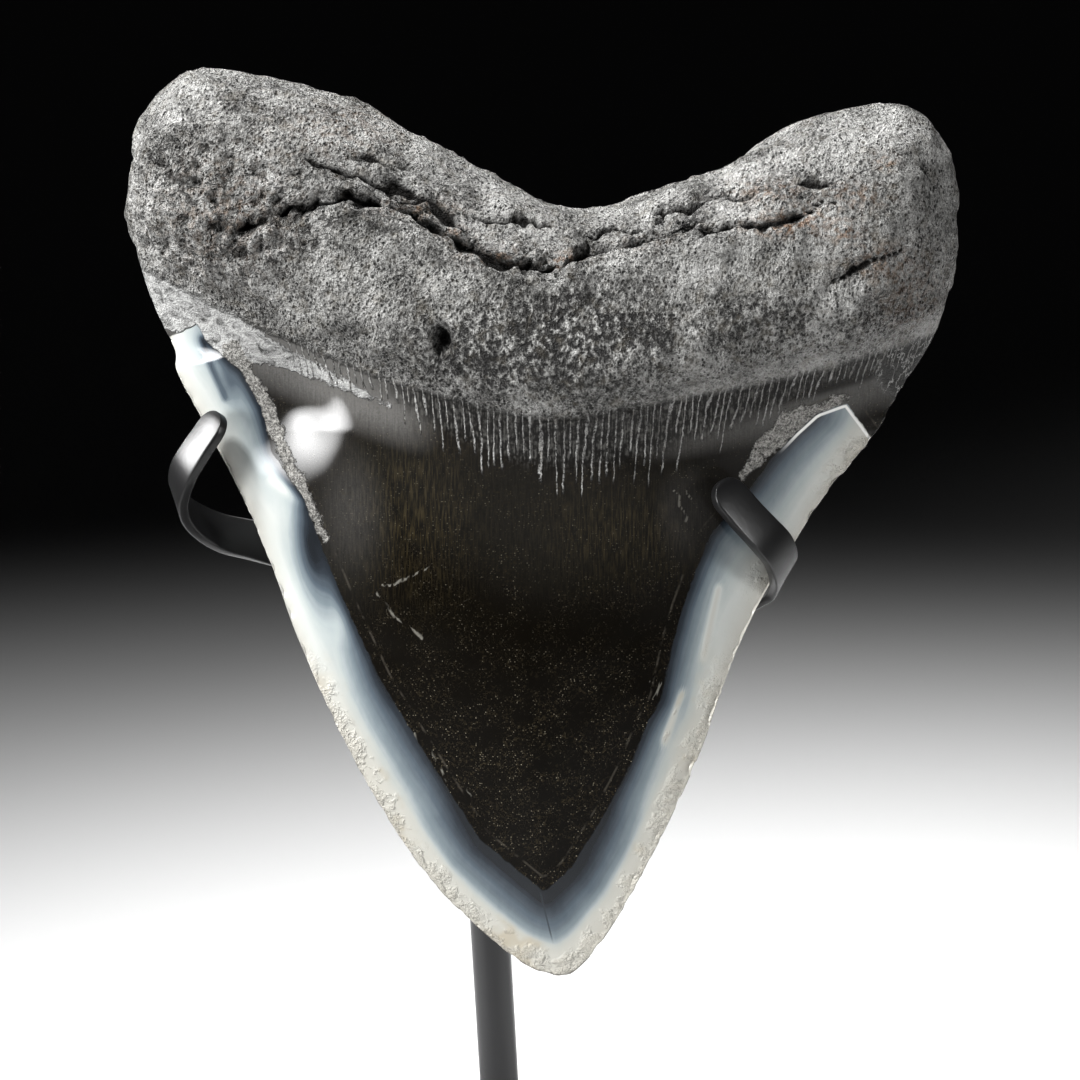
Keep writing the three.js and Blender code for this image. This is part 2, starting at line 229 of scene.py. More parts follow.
def tooth_grid():
    """Points and quads of the smooth tooth, as (across, up, out) in mm.

    A square grid is pressed into a disc, and each radius of the disc is stretched from the
    heart to the rim. The lingual and labial faces are two such grids that share the rim's points.
    """
    n = GRID_CELLS
    a, b = np.meshgrid(np.linspace(-1, 1, n + 1), np.linspace(-1, 1, n + 1))
    p, q = a * np.sqrt(1 - b * b / 2), b * np.sqrt(1 - a * a / 2)
    on_rim = np.maximum(abs(a), abs(b)) > 1 - 1e-9
    out = np.where(on_rim, 1, 1 - np.maximum(0, 1 - np.hypot(p, q)) ** RIM_CROWDING)
    angle = np.arctan2(q, p)
    rim = curve_through(RIM, RIM_ARC_STEPS)
    rim_angle = np.arctan2(rim[:, 1] - HEART[1], rim[:, 0] - HEART[0])
    rim_reach = np.hypot(rim[:, 0] - HEART[0], rim[:, 1] - HEART[1])
    reach = np.interp(angle, rim_angle, rim_reach, period=2 * np.pi) * out
    u, v = HEART[0] + reach * np.cos(angle), HEART[1] + reach * np.sin(angle)
    d = np.where(on_rim, 0, to_line(u, v, rim, closed=True)[0])
    middle, front, back = faces(u, v, d)
    front_points = np.stack([u, v, np.where(on_rim, middle, front)], axis=-1).reshape(-1, 3)
    back_points = np.stack([u, v, back], axis=-1)[~on_rim]
    front_index = np.arange((n + 1) ** 2).reshape(n + 1, n + 1)
    back_index = front_index.copy()
    back_index[~on_rim] = len(front_points) + np.arange(len(back_points))

    def quads(index, turn):
        corners = [index[:-1, :-1], index[:-1, 1:], index[1:, 1:], index[1:, :-1]]
        return np.stack(corners[::turn], axis=-1).reshape(-1, 4)

    points = np.concatenate([front_points, back_points])
    distance = np.concatenate([d.ravel(), d[~on_rim]])
    lingual = np.concatenate([np.ones(len(front_points)), np.zeros(len(back_points))])
    return points, np.concatenate([quads(front_index, 1), quads(back_index, -1)]), distance, lingual


place, quads, rim_distance, lingual = tooth_grid()
across, up = place[:, 0], place[:, 1]
neck = above_neck(across, up)

# The outline of what is not bare enamel: the dark core, and the root above it.
CORE = [
    (-0.4, -54.8), (-10.4, -46.5), (-18.1, -34.1), (-25.8, -21.4), (-31.5, -9.0),
    (-34.9, -0.3), (-37.4, 6.5), (-43.0, 13.5), (-44.8, 19.8), (-47.3, 25.9),
    (-52.5, 30.7), (-53.8, 33.3), (-62.0, 30.0), (-80.0, 60.0), (0.0, 110.0),
    (85.0, 60.0), (58.0, 8.0), (50.1, 16.1), (46.0, 21.1), (41.3, 19.5),
    (38.1, 16.6), (34.4, 12.6), (31.5, 8.5), (25.0, 0.8), (22.9, -4.6),
    (20.9, -10.2), (19.3, -16.0), (17.5, -24.8), (15.4, -28.4), (12.7, -35.2),
    (8.5, -43.4), (3.6, -51.2),
]
INNER_LEFT, INNER_RIGHT = CORE[:11], CORE[19:] + CORE[:1]
core_edge = to_line(across, up, CORE, closed=True)[0]
core = np.where(inside(across, up, CORE), core_edge, -core_edge)
inner = np.minimum(
    to_line(across, up, INNER_LEFT)[0], to_line(across, up, INNER_RIGHT)[0],
)
band = inner / np.maximum(inner + rim_distance, 1e-6)

# The enamel is paler high up at the left and a little so low down, and in these places: the
# centre, the radii and how much paler or darker. Three places are painted light: at (29, -14)
# a painted reflection of the floor, at (-41, 4.6) a painted reflection of a lamp, and at
# (-49.5, 23.5) the painted shadow of a hollow.
paleness_and_painted_light = 0.34 * smooth(-8, 12, up) * (0.35 + 0.65 * smooth(10, -10, across))
paleness_and_painted_light += 0.05 * smooth(-14, -26, up)
PALER_AND_PAINTED_LIGHT = [
    ((29, -14), (7, 16), 0.45), ((19, -38), (6, 10), 0.2), ((-33, -14), (6, 9), 0.2),
    ((-49.5, 23.5), (1.6, 3.4), -0.32), ((-41, 4.6), (2.6, 6), 0.25), ((-36.5, -2), (2.6, 8), -0.4),
    ((-32, -12.5), (2.2, 4), 0.25),
]
for centre, radii, share in PALER_AND_PAINTED_LIGHT:
    paleness_and_painted_light += share * hill(across, up, centre, radii)

# Streaks on the enamel, all painted reflections: the line, half the width and how much paler or
# darker. The two at the right are painted reflections of the floor, the pale one at the left of
# a lamp, and the dark one high at the left of the arm.
PAINTED_REFLECTION_STREAKS = [
    ([(26.4, -7.5), (25.2, -13.0), (24.2, -18.0)], 0.6, 0.55),
    ([(20.8, -23.8), (18.2, -31.0)], 0.6, 0.5),
    ([(-53.2, 31.0), (-51.6, 26.0), (-50.0, 21.7)], 0.5, -0.5),
    ([(-42.5, 9.2), (-37.4, 6.0)], 0.9, 0.35),
]
for line, half, share in PAINTED_REFLECTION_STREAKS:
    paleness_and_painted_light += share * np.exp(-(to_line(across, up, line)[0] / half) ** 2)
# The paleness, with its painted reflections and painted shadow, moves the enamel along its bands.
band = band + paleness_and_painted_light * smooth(-0.02, 0.24, band) * (1 - band)

# Cracks of the root: the line, half the width and the depth of each. The first is the main one.
CRACKS = [
    ([(-41.9, 48.8), (-35.0, 50.6), (-29.3, 51.8), (-20.2, 49.6), (-14.0, 46.2), (-7.9, 42.2),
      (-4.5, 41.9), (0.8, 41.5), (2.8, 42.2), (6.2, 44.0), (13.2, 45.7), (19.7, 46.5),
      (24.0, 48.6)], 1.0, 2.8),
    ([(22.5, 45.9), (26.0, 47.2), (30.5, 48.1), (35.0, 47.9), (39.9, 49.6)], 0.85, 2.0),
    ([(-13.5, 49.9), (-8.0, 49.2), (-1.9, 48.4), (0.5, 48.3)], 0.5, 1.2),
    ([(16.0, 49.8), (18.5, 51.2), (22.8, 51.8), (28.4, 52.2), (34.1, 53.4)], 0.8, 1.7),
    ([(37.5, 53.9), (40.0, 54.6), (43.5, 54.8)], 0.55, 1.1),
    ([(-31.5, 55.9), (-27.0, 54.9), (-20.5, 53.2)], 0.75, 1.6),
    ([(-28.9, 58.5), (-24.0, 57.5), (-18.8, 55.4)], 0.45, 1.0),
    ([(39.2, 50.6), (41.0, 51.2), (43.4, 51.2)], 0.4, 0.8),
    ([(42.6, 38.4), (47.5, 41.3), (52.9, 44.2)], 0.45, 0.8),
    ([(30.6, 58.6), (35.2, 59.4)], 0.4, 0.8),
    ([(-46.0, 46.6), (-43.2, 48.0)], 0.9, 1.4),
    ([(-24.0, 52.8), (-17.0, 51.2), (-11.5, 47.6)], 0.8, 1.6),
    ([(-36.0, 57.6), (-32.5, 56.6)], 0.6, 1.2),
    ([(3.0, 46.0), (9.0, 47.6), (15.0, 48.4)], 0.45, 1.0),
]
# The foramen, where a vessel once came in: its centre, radii and depth.
FORAMEN, FORAMEN_RADII, FORAMEN_DEEP = (-15.8, 30.1), (1.6, 2.9), 2.8
# Single pits: the centre and size of each, and the depth of all.
PIT_DEEP = 1.3
PITS = [
    (-56.5, 60.4, 1.2), (-58.0, 57.8, 1.1), (-52.5, 53.8, 1.0), (-44.4, 55.8, 0.8), (-38.3, 55.2, 0.9),
    (-49.8, 47.7, 1.2), (-47.0, 45.4, 0.9), (-40.4, 48.7, 1.4), (-35.6, 49.8, 1.0), (-47.8, 58.4, 0.7),
    (-37.0, 53.0, 0.8), (-33.0, 64.6, 0.7), (-31.0, 47.0, 0.6), (57.5, 56.9, 0.9), (54.0, 58.4, 0.7),
    (-54.5, 49.0, 0.8), (-43.0, 51.6, 0.8), (-16.7, 48.4, 1.0), (38.0, 52.0, 0.6),
]


def cracks(place):
    """How deep the cracks, pits and foramen are, in mm, and how dark their painted shade is, from 0 to
    1.

    Each has a level floor and smooth walls. A crack's line wanders and its width varies with
    noise, and it closes at both ends as a low power of a half wave of a sine.
    """
    u = place[:, 0] + 0.9 * cloud(place, 2.6, 11) + 0.6 * cloud(place, 1.2, 12)
    v = place[:, 1] + 0.9 * cloud(place, 2.6, 13) + 0.6 * cloud(place, 1.2, 14)
    ragged = 0.95 + 0.8 * cloud(place, 2.2, 15)
    depth = np.zeros(len(place))
    dark = np.zeros(len(place))
    for line, half, deep in CRACKS:
        gap, along = to_line(u, v, line)
        width = half * ragged * np.sin(np.pi * np.clip(along, 0.06, 0.94)) ** 0.4
        open_ = 1 - smooth(0.35, 1.35, gap / width)
        depth = np.maximum(depth, deep * open_)
        dark = np.maximum(dark, open_)
    for pit_u, pit_v, size in PITS:
        open_ = smooth(0.3, 0.85, hill(u, v, (pit_u, pit_v), (1.3 * size, 0.8 * size)))
        depth = np.maximum(depth, PIT_DEEP * open_)
        dark = np.maximum(dark, 0.6 * open_)
    # The foramen's floor is painted dark too: painted shade in the hole.
    from_foramen = (place[:, :2] - FORAMEN) / FORAMEN_RADII
    hole = np.hypot(from_foramen[:, 0], from_foramen[:, 1])
    depth = np.maximum(depth, FORAMEN_DEEP * (1 - smooth(0.2, 1.3, hole)))
    dark = np.maximum(dark, 0.75 * (1 - smooth(0.3, 1.0, hole)))
    return depth, dark


def root_relief(place):
    """The root's skin: lumps of three sizes, and a network of low ridges, in mm."""
    lumps = 0.55 * cloud(place, 11, 1) + 0.4 * cloud(place, 5, 2) + 0.22 * cloud(place, 2.4, 3)
    ridges = 1 - abs(cloud(place * [1, 0.7, 1], 3.6, 4))
    return lumps + 0.5 * (ridges**2 - 0.4) + 0.14 * cloud(place, 1.2, 5)


# The root's skin ends higher above the neck in the middle than at the sides.
border = neck - 8 * np.exp(-((across - 4) / 34) ** 2)
rooted = smooth(-0.5, 4, border)
crack_depth, crack_painted_shade = cracks(place)
crack_depth *= lingual * rooted
crack_painted_shade *= lingual * rooted

# Pits are deep on the left lobe and near the cracks, and shallow elsewhere.
to_crack = to_line(across, up, CRACKS[0][0])[0]
pitted = 1.2 * hill(across, up, (-53, 52), (10, 12)) + 0.6 * hill(across, up, (-37, 47), (14, 7))
pitted = np.clip(0.12 + pitted + 0.5 * np.exp(-(to_crack / 5) ** 2), 0, 1) * rooted
bent = place + 0.9 * np.stack([cloud(place, 2.0, seed) for seed in (16, 17, 18)], axis=1)
pit = 1 - smooth(0.1, 0.6, nearest_seed(bent, 2.6, 21))
small_pit = 1 - smooth(0.1, 0.5, nearest_seed(bent, 1.5, 25))
pit_depth = pitted * (1.2 * pit * smooth(-0.5, 0.3, cloud(place, 4, 27)) + 0.45 * small_pit)

# The surface breaks at the main crack: below it stands a lip, and above it falls back.
crack_line = np.interp(across, [-42, -30, -5, 1, 25, 40], [48, 51, 41, 40.5, 47, 48.5])
below = crack_line - up
lip = np.where(below > 0, np.exp(-((below - 1) / 3.4) ** 2), np.exp(-((below - 1) / 1.4) ** 2))
lip = 1.1 * lip * np.exp(-(across / 42) ** 4)
behind = 0.9 * smooth(0, 3, -below) * (1 - smooth(5, 14, -below)) * np.exp(-(across / 40) ** 4)
neck_step = 0.35 * smooth(0, 3, border)
foramen_lip = 0.4 * hill(across, up, (FORAMEN[0] + 2.0, FORAMEN[1] + 0.6), (0.7, 3.2)) * lingual
out = root_relief(place) * rooted - crack_depth - pit_depth
out += 0.75 * pitted * lingual * cloud(bent, 1.9, 6)
out += ((lip - behind) * lingual + neck_step) * rooted + foramen_lip

# The polished blade has faint waves, and one shallow hollow at the left that catches the
# light. Its cutting edges are nicked.
nicks = 1 - smooth(0.15, 0.62, nearest_seed(place * [1, 1, 0], 2.3, 31))
chipped = 0.35 + 0.65 * np.maximum(
    hill(across, up, (20, -42), (16, 20)), hill(across, up, (45, 8), (8, 9)),
)
out -= 0.5 * nicks * chipped * np.exp(-(rim_distance / 0.9) ** 2) * (1 - rooted)
waves = 0.13 * cloud(place * [1, 0.6, 1], 8, 33) + 0.03 * cloud(place, 3.5, 34)
waves -= 2.4 * hill(across, up, (-40.5, 20.5), (8.5, 8)) * lingual
out += waves * (1 - rooted)

normals = vertex_normals(place, quads)
shaped = place + normals * out[:, None]

# Smooth maps that the finish reads: where each kind of surface lies, in mm or from 0 to 1.
ochre = sum(
    strength * hill(across, up, centre, radii)
    for centre, radii, strength in [
        ((2.5, 42.6), (2.5, 1.4), 0.9), ((-8, 43), (4, 1.6), 0.7), ((-14, 46.5), (3, 1.4), 0.6),
        ((38, 48.3), (5, 1.8), 0.8), ((33, 47), (4, 1.3), 0.6), ((50, 42.4), (4.5, 2.4), 0.5),
        ((51, 57.5), (1.6, 1.2), 0.8), ((46, 52), (5, 1.8), 0.5), ((44.5, 46.5), (2.2, 1.6), 0.8),
        ((55, 38), (5, 5), 0.35), ((-48, 50), (10, 8), 0.35), ((-30, 62), (8, 4), 0.25),
        ((32.5, 53), (5, 1.5), 0.5), ((-20, 50.5), (6, 1.6), 0.5), ((14, 45), (5, 2), 0.2),
    ]
)
mottle = hill(across, up, (3, 30.5), (15, 7)) + 0.45 * hill(across, up, (34, 33.5), (14, 4.5))
mottle = np.clip(mottle + 0.3 * hill(across, up, (-14, 27), (7, 6)), 0, 1)

# Unpolished strips beside the enamel, and the chalky shoulder: the line and half the width
# at even steps along it.
STRIPS = [
    (
        [(-48.5, 29.0), (-45.5, 21.5), (-41.5, 14.5), (-37.6, 7.5), (-34.0, 0.0)],
        [1.6, 2.2, 0.9, 1.3, 0.5],
    ),
    ([(29.8, 9.8), (33.2, 14.2), (37.5, 18.2), (45.8, 21.8)], [0.5, 1.9, 2.0, 0.5]),
]
SHOULDER = (
    [(-64, 42), (-57, 36.5), (-49, 31.5), (-42.5, 28.5), (-33, 24.5), (-24, 20.5)],
    [4.4, 4.2, 3.4, 1.8, 0.9, 0.3],
)


def strip(line, halves):
    """How far inside a strip a point is, in mm: its half width there less the distance to its line."""
    gap, along = to_line(across, up, line)
    return np.interp(along, np.linspace(0, 1, len(halves)), halves) - gap


grit = np.maximum(strip(*STRIPS[0]), strip(*STRIPS[1]))

# Pale hair cracks in the core.
HAIRS = [
    [(-26.0, -7.9), (-23.4, -12.0), (-21.5, -13.4), (-18.9, -15.0)],
    [(-25.4, -7.0), (-21.5, -5.8), (-17.0, -3.6)], [(-13.8, -10.4), (-12.4, -8.5)],
    [(15.6, -21.5), (17.4, -22.3), (17.0, -24.3), (15.9, -24.9)],
    [(-20.5, -29.5), (-20.2, -31.5), (-20.7, -34.0)],
    [(-17.8, -32.6), (-16.4, -35.0), (-15.8, -38.0)],
    [(19.2, 7.8), (20.3, 6.6), (20.0, 5.2), (21.4, 4.0), (21.0, 2.8)], [(21.2, 7.6), (22.2, 6.4)],
    [(-16.6, -41.9), (-17.4, -45.0)], [(-13.0, -38.0), (-11.5, -40.5)],
]
bent_u = across + 0.5 * cloud(place, 1.7, 41)
bent_v = up + 0.5 * cloud(place, 1.7, 42)
hair = np.min([to_line(bent_u, bent_v, line)[0] for line in HAIRS], axis=0)

# Fine olive grain shows in two places of the core, near the neck.
grain = hill(across, up, (-21, 5), (9, 12)) + 0.8 * hill(across, up, (12, 1.5), (12, 7))

# Below the border the blade is bared: grey and satin at the sides, with a dark band at the right.
right = smooth(10, 22, across)
left = smooth(-14, -24, across)
satin = 0.07 * smooth(-26, -8, neck)
satin = np.maximum(satin, left * smooth(-12, -5, border) * 0.95)
satin = np.maximum(satin, right * smooth(-11, -6, border) * 0.6)
satin *= 1 - right * smooth(-4.6, -3.4, border) * 0.95
satin = np.maximum(satin, 0.3 * hill(across, up, (-30, 5), (5, 9)))
satin = np.maximum(satin, 0.2 * hill(across, up, (21, 5), (5, 7)))

# The enamel's outer edge is creamy and rough low down, and in two places at the right.
low = smooth(-12, -32, up) + hill(across, up, (49, 12), (7, 10))
low += 0.8 * hill(across, up, (36, -6), (4, 5))

mesh = bpy.data.meshes.new("fossil_tooth")
mesh.from_pydata(to_stand(shaped).tolist(), [], quads.tolist())
mesh.shade_smooth()
maps = {
    "border": border, "core": core, "band": band, "crack": crack_painted_shade, "ochre": np.clip(ochre, 0, 1),
    "mottle": mottle, "grit": grit, "shoulder": strip(*SHOULDER), "grain": grain, "satin": satin,
    "hair": hair, "buffed": hill(across, up, (-34, 20), (8, 8)),
    "ring": hill(across, up, (57, 27), (7, 6)), "low": low,
    "pit": pitted * np.maximum(pit, 0.6 * small_pit), "craggy": pitted,
}
for name, values in maps.items():
    layer = mesh.attributes.new(name, "FLOAT", "POINT")
    layer.data.foreach_set("value", np.asarray(values, np.float32))
# Every pattern of the finish reads a point's own tooth coordinates, in mm.
layer = mesh.attributes.new("place", "FLOAT_VECTOR", "POINT")
layer.data.foreach_set("vector", shaped.astype(np.float32).ravel())
tooth = bpy.data.objects.new("fossil_tooth", mesh)
bpy.context.scene.collection.objects.link(tooth)


# ---- The tooth's finish -----------------------------------------------------
# The root is grey mineral-stained dentine, pitted and matt. Thin runs of it cross on to the
# polished blade, whose core is near-black dentine with pale specks and whose bared enamel
# goes from slate blue by the core to cream at the cutting edge.
class Wire:
    """An output of a material's node; arithmetic on it adds Math nodes."""

    def __init__(self, tree, socket=None):
        self.tree = tree
        self.socket = socket

    def node(self, kind, settings=None, inputs=None, output=0):
        """Adds a node: first its settings, or a ramp's stops, then its inputs by name or number."""
        made = self.tree.nodes.new(kind)
        for name, value in (settings or {}).items():
            if name == "stops":
                ramp = made.color_ramp
                while len(ramp.elements) < len(value):
                    ramp.elements.new(1.0)
                for element, (at, colour) in zip(ramp.elements, value):
                    element.position = at
                    element.color = (*colour, 1.0)
            else:
                setattr(made, name, value)
        for name, value in (inputs or {}).items():
            if isinstance(value, Wire):
                self.tree.links.new(value.socket, made.inputs[name])
            else:
                made.inputs[name].default_value = value
        return Wire(self.tree, made.outputs[output] if made.outputs else None)

    def math(self, operation, *values):
        return self.node("ShaderNodeMath", {"operation": operation}, dict(enumerate(values)))

    def __add__(self, other):
        return self.math("ADD", self, other)

    def __sub__(self, other):
        return self.math("SUBTRACT", self, other)

    def __rsub__(self, other):
        return self.math("SUBTRACT", other, self)

    def __mul__(self, other):
        return self.math("MULTIPLY", self, other)

    def __truediv__(self, other):
        return self.math("DIVIDE", self, other)

    __radd__ = __add__
    __rmul__ = __mul__

    def magnitude(self):
        return self.math("ABSOLUTE", self)

    def whole(self):
        """The whole number at or below this one."""
        return self.math("FLOOR", self)

    def most(self, other):
        return self.math("MAXIMUM", self, other)

    def least(self, other):
        return self.math("MINIMUM", self, other)

    def step(self, low, high):
        """0 below low and 1 above high, smooth between; low above high turns it round."""
        settings = {"interpolation_type": "SMOOTHSTEP"}
        ends = {"Value": self, "From Min": low, "From Max": high}
        return self.node("ShaderNodeMapRange", settings, ends)

    def ramp(self, *stops):
        return self.node("ShaderNodeValToRGB", {"stops": stops}, {"Fac": self})

    def attribute(self, name, output="Fac"):
        return self.node("ShaderNodeAttribute", {"attribute_name": name}, output=output)

    def part(self, index):
        """One of a vector's three parts."""
        return self.node("ShaderNodeSeparateXYZ", None, {0: self}, output=index)

    def scaled(self, factors):
        """A vector with each of its parts multiplied by its own factor."""
        settings = {"operation": "MULTIPLY"}
        return self.node("ShaderNodeVectorMath", settings, {0: self, 1: factors})

    def noise(self, scale, detail=2.0, rough=0.5, distortion=0.0):
        values = {"Vector": self, "Scale": scale, "Detail": detail}
        values |= {"Roughness": rough, "Distortion": distortion}
        return self.node("ShaderNodeTexNoise", None, values)

    def cells(self, scale, output="Distance"):
        """Distance to the nearest of one scattered point to a cell, or that point's own colour."""
        return self.node("ShaderNodeTexVoronoi", None, {"Vector": self, "Scale": scale}, output)

    def bump(self, strength, distance):
        """A normal bent by this height, which is counted in distances."""
        inputs = {"Strength": strength, "Distance": distance, "Height": self}
        return self.node("ShaderNodeBump", None, inputs)


def mix(first, second, share):
    """The first colour, going to the second as share goes from 0 to 1."""
    wire = next(w for w in (share, first, second) if isinstance(w, Wire))
    inputs = {0: share}
    for socket, colour in ((6, first), (7, second)):
        inputs[socket] = colour if isinstance(colour, Wire) else (*colour, 1.0)
    return wire.node("ShaderNodeMix", {"data_type": "RGBA"}, inputs, output=2)


def new_material(name):
    """An empty material, a wire to build on, and a function that plugs its surface in."""
    material = bpy.data.materials.new(name)
    material.use_nodes = True
    tree = material.node_tree
    tree.nodes.clear()
    start = Wire(tree)

    def finish(**inputs):
        constants = {k.replace("_", " "): v for k, v in inputs.items()}
        surface = start.node("ShaderNodeBsdfPrincipled", None, constants)
        start.node("ShaderNodeOutputMaterial", None, {"Surface": surface})
        return material

    return start, finish


def fossil_material():
    start, finish = new_material("fossil")
    at = start.attribute("place", "Vector")
    core = start.attribute("core")
    band = start.attribute("band")

    # The root's skin: wrinkles a little drawn out up and down, with pores and grains. Its colour is
    # darker where its relief is low and paler where high, painted shade over a tone that varies at
    # random, and its pale flecks are painted glints.
    mottle = start.attribute("mottle")
    tall = at.scaled((1.0, 0.75, 0.85))
    swell = tall.noise(1.15, 2, 0.5)
    coarse = tall.noise(1.6, 3, 0.62)
    ridge = 1 - 3.2 * (tall.noise(1.9, 2, 0.6) - 0.5).magnitude()
    pore = tall.cells(1.5).step(0.4, 0.14) * at.noise(0.7, 2, 0.6).step(0.42, 0.56).most(mottle)
    grains = at.noise(3.6, 2, 0.65)
    broad = at.noise(0.16, 3, 0.55)
    gash = at.scaled((0.62, 1.0, 1.0)).noise(0.8, 3, 0.7, 0.6).step(0.54, 0.6)
    gash = gash * start.attribute("craggy").step(0.2, 0.75)
    relief = (2.5 * swell + 0.65 * ridge + 0.2 * grains) * (1 + 0.5 * mottle)
    relief = relief - 0.5 * pore - 1.2 * gash
    # Painted shade: the tone follows the relief's swell, ridges and pores, so the colour darkens in the
    # hollows.
    tone_and_painted_shade = 0.15 * swell + 0.15 * coarse + 0.18 * ridge + 0.25 * grains + 0.36 * broad - 0.18 * pore
    tone_and_painted_shade = tone_and_painted_shade + mottle * (0.9 * swell - 0.575)
    skin = tone_and_painted_shade.ramp(
        (0.45, (0.032, 0.031, 0.03)), (0.53, (0.13, 0.128, 0.122)),
        (0.6, (0.33, 0.327, 0.314)), (0.7, (0.58, 0.575, 0.56)),
    )
    # Pale flecks on the skin's raised grain: painted glints.
    painted_glint = at.noise(3.1, 1, 0.5).step(0.6, 0.7)
    skin = mix(skin, (0.6, 0.6, 0.59), 0.38 * painted_glint * coarse.step(0.42, 0.58))
    warm = at.noise(0.45, 2, 0.5).step(0.5, 0.75)
    skin = mix(skin, (0.17, 0.15, 0.115), 0.35 * warm)
    rust = start.attribute("ochre") * at.noise(0.9, 3, 0.6).step(0.42, 0.62)
    skin = mix(skin, (0.26, 0.14, 0.07), 0.8 * rust)
    # Cracks, pits, gashes and the foramen are drawn near black: painted shade in the hollows.
    painted_hollow_shade = start.attribute("crack").most(0.68 * start.attribute("pit")).most(0.62 * gash)
    skin = mix(skin, (0.009, 0.008, 0.007), painted_hollow_shade.step(0.15, 0.85))

    # Thin runs hang from the root's edge, counted across by a number that wanders.
    sideways = at.part(0)
    border = start.attribute("border") + 1.6 * (at.noise(0.45, 4, 0.7) - 0.5)
    hem = border.step(4.5, 1.0) * sideways.step(8, 22)
    skin = mix(skin, mix((0.08, 0.079, 0.076), (0.17, 0.168, 0.163), coarse), 0.5 * hem)
    centred = 1 - ((sideways - 8) * (sideways - 8) / 1100).least(1.0)
    count = 0.85 * sideways * (1 - 0.007 * border)
    count = count + 2.2 * at.scaled((0.3, 0.03, 0.0)).noise(1.0, 2, 0.5)
    count = count + 0.7 * at.scaled((1.0, 0.6, 0.0)).noise(0.6, 3, 0.65)
    number = count.whole()
    chance = at.node("ShaderNodeTexWhiteNoise", {"noise_dimensions": "1D"}, {"W": number})
    width = 0.02 + 0.2 * at.noise(0.9, 2, 0.7)
    thread = (count - number - 0.5).magnitude() / width
    reach = 4.5 + 7 * centred
    apron = (border + 0.8 * reach).step(0, 3) * sideways.step(-30, -20)
    reach = reach * (0.55 + 0.6 * chance)
    thread = thread.step(1.15, 0.6) * (border + reach).step(0, 0.9) * sideways.step(-42, -36)
    rough = border.step(-0.8, 0.5)
    covered = thread.most(rough)

    # The dentine core: near black, paler by the neck, dusted with tan specks.
    lines = at.scaled((1.0, 0.09, 0.0)).noise(3.6, 3, 0.6)
    olive = start.attribute("grain") * lines.step(0.42, 0.7)
    dentine = mix((0.003, 0.0024, 0.0016), (0.028, 0.021, 0.0095), olive)
    satin = start.attribute("satin") * (0.1 + lines + 0.8 * grains)
    dentine = mix(dentine, (0.11, 0.107, 0.102), satin)
    dust = at.noise(0.25, 3, 0.6).step(0.34, 0.6) * (0.35 + 0.65 * start.attribute("low"))
    clot = at.noise(1.9, 4, 0.75).step(0.5, 0.72) * dust
    dentine = mix(dentine, (0.032, 0.025, 0.014), 0.85 * clot)
    lucky = at.cells(3.3, "Color")
    points = at.cells(3.3).step(0.38, 0.14) * lucky.step(0.35, 0.95) * dust
    speck = mix((0.09, 0.07, 0.04), (0.4, 0.36, 0.27), lucky.step(0.6, 1.0))
    dentine = mix(dentine, speck, 0.75 * points)
    contour = (core - 1.7).magnitude().step(0.24, 0.06) * at.noise(0.35, 3, 0.6).step(0.45, 0.6)
    dentine = mix(dentine, (0.06, 0.053, 0.043), 0.5 * contour)
    hair = start.attribute("hair").step(0.28, 0.1) * at.noise(1.1, 2, 0.6).step(0.26, 0.42)
    dentine = mix(dentine, (0.24, 0.23, 0.2), 0.55 * hair)
    apron_tone = mix((0.006, 0.0055, 0.005), (0.075, 0.073, 0.068), (lines + coarse).step(0.95, 1.2))
    dentine = mix(dentine, apron_tone, 0.85 * apron)

    # The enamel, in bands that wander a little, with growth lines along them. Low down its
    # outer half is cream with tan stains, and its edge is rough.
    fibre = at.scaled((1.0, 0.35, 0.0)).noise(1.1, 3, 0.6)
    height_up = at.part(1)
    layers = start.node("ShaderNodeCombineXYZ", None, {0: 9 * band, 1: 0.07 * height_up})
    layers = layers.noise(1.0, 3, 0.6)
    wander = band + 0.12 * (at.noise(0.13, 3, 0.5) - 0.5) + 0.05 * (fibre - 0.5)
    wander = wander + 0.13 * (layers - 0.5)
    wander = wander - 0.16 * height_up.step(-34, -54) * band.step(0.72, 0.58)
    enamel = wander.ramp(
        (0.0, (0.008, 0.01, 0.013)), (0.1, (0.02, 0.026, 0.034)),
        (0.27, (0.07, 0.09, 0.11)), (0.44, (0.17, 0.205, 0.225)), (0.6, (0.34, 0.38, 0.385)),
        (0.78, (0.5, 0.52, 0.5)), (1.0, (0.47, 0.46, 0.42)),
    )
    cream = start.attribute("low").least(1.0) * wander.step(0.5, 0.75)
    enamel = mix(enamel, (0.42, 0.4, 0.35), 0.65 * cream)
    tan = cream * at.noise(0.11, 3, 0.6).step(0.54, 0.66)
    enamel = mix(enamel, (0.36, 0.31, 0.22), 0.6 * tan)
    beige = mix((0.33, 0.31, 0.26), (0.64, 0.62, 0.56), at.noise(1.4, 4, 0.75))
    rough_patch = (at.noise(0.33, 4, 0.65) + 0.35 * (wander - 0.75)).step(0.46, 0.66)
    rough_patch = rough_patch * wander.step(0.66, 0.86) * start.attribute("low")
    enamel = mix(enamel, beige, 0.65 * rough_patch)
    # A near-white line along the top of the enamel's chipped block at the right: a painted highlight
    # where its broken face catches the light.
    painted_edge_highlight = (core + 0.35).magnitude().step(0.3, 0.12) * height_up.step(13, 17) * sideways.step(30, 36)
    enamel = mix(enamel, (0.8, 0.8, 0.78), painted_edge_highlight)
    seam = (sideways + 0.243 * height_up + 14.4).magnitude().step(0.2, 0.06)
    seam = seam * height_up.step(-54, -56) * height_up.step(-63.5, -61)
    enamel = mix(enamel, (0.02, 0.025, 0.03), 0.7 * seam)

